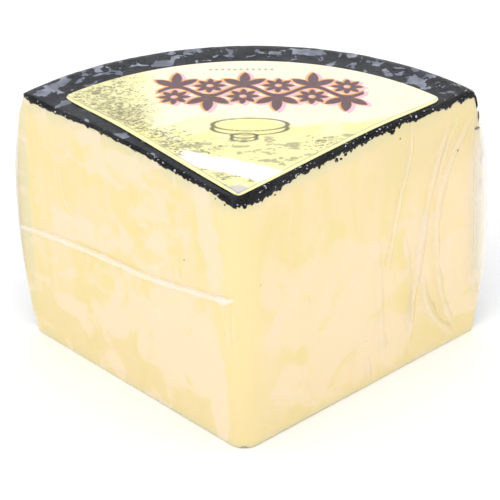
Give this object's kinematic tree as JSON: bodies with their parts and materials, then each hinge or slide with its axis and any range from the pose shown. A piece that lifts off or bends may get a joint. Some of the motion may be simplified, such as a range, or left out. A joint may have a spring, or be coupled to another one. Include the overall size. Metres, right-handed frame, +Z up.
{
  "type": "cheese wedge",
  "caption": "Quarter wedge of pale semi-hard cheese with a black wax coat and a paper top label, packed in clear shrink film.",
  "frame": {"origin": "under the middle of the wrapped wedge's bounding box, on the surface it stands on", "axes": "+Z up, the wedge's tip points towards -Y and its curved rind faces +Y; +X runs from one cut corner of the rind to the other"},
  "size_m": [0.2028, 0.1394, 0.1244],
  "materials": {
    "cheese": "satin",
    "wax": "satin",
    "label_paper": "satin",
    "film": "gloss"
  },
  "bodies": {
    "root": {"cheese_paste": "cheese", "wax_coat": "wax", "top_label": "label_paper", "film_bag": "film"}
  },
  "joints": []
}
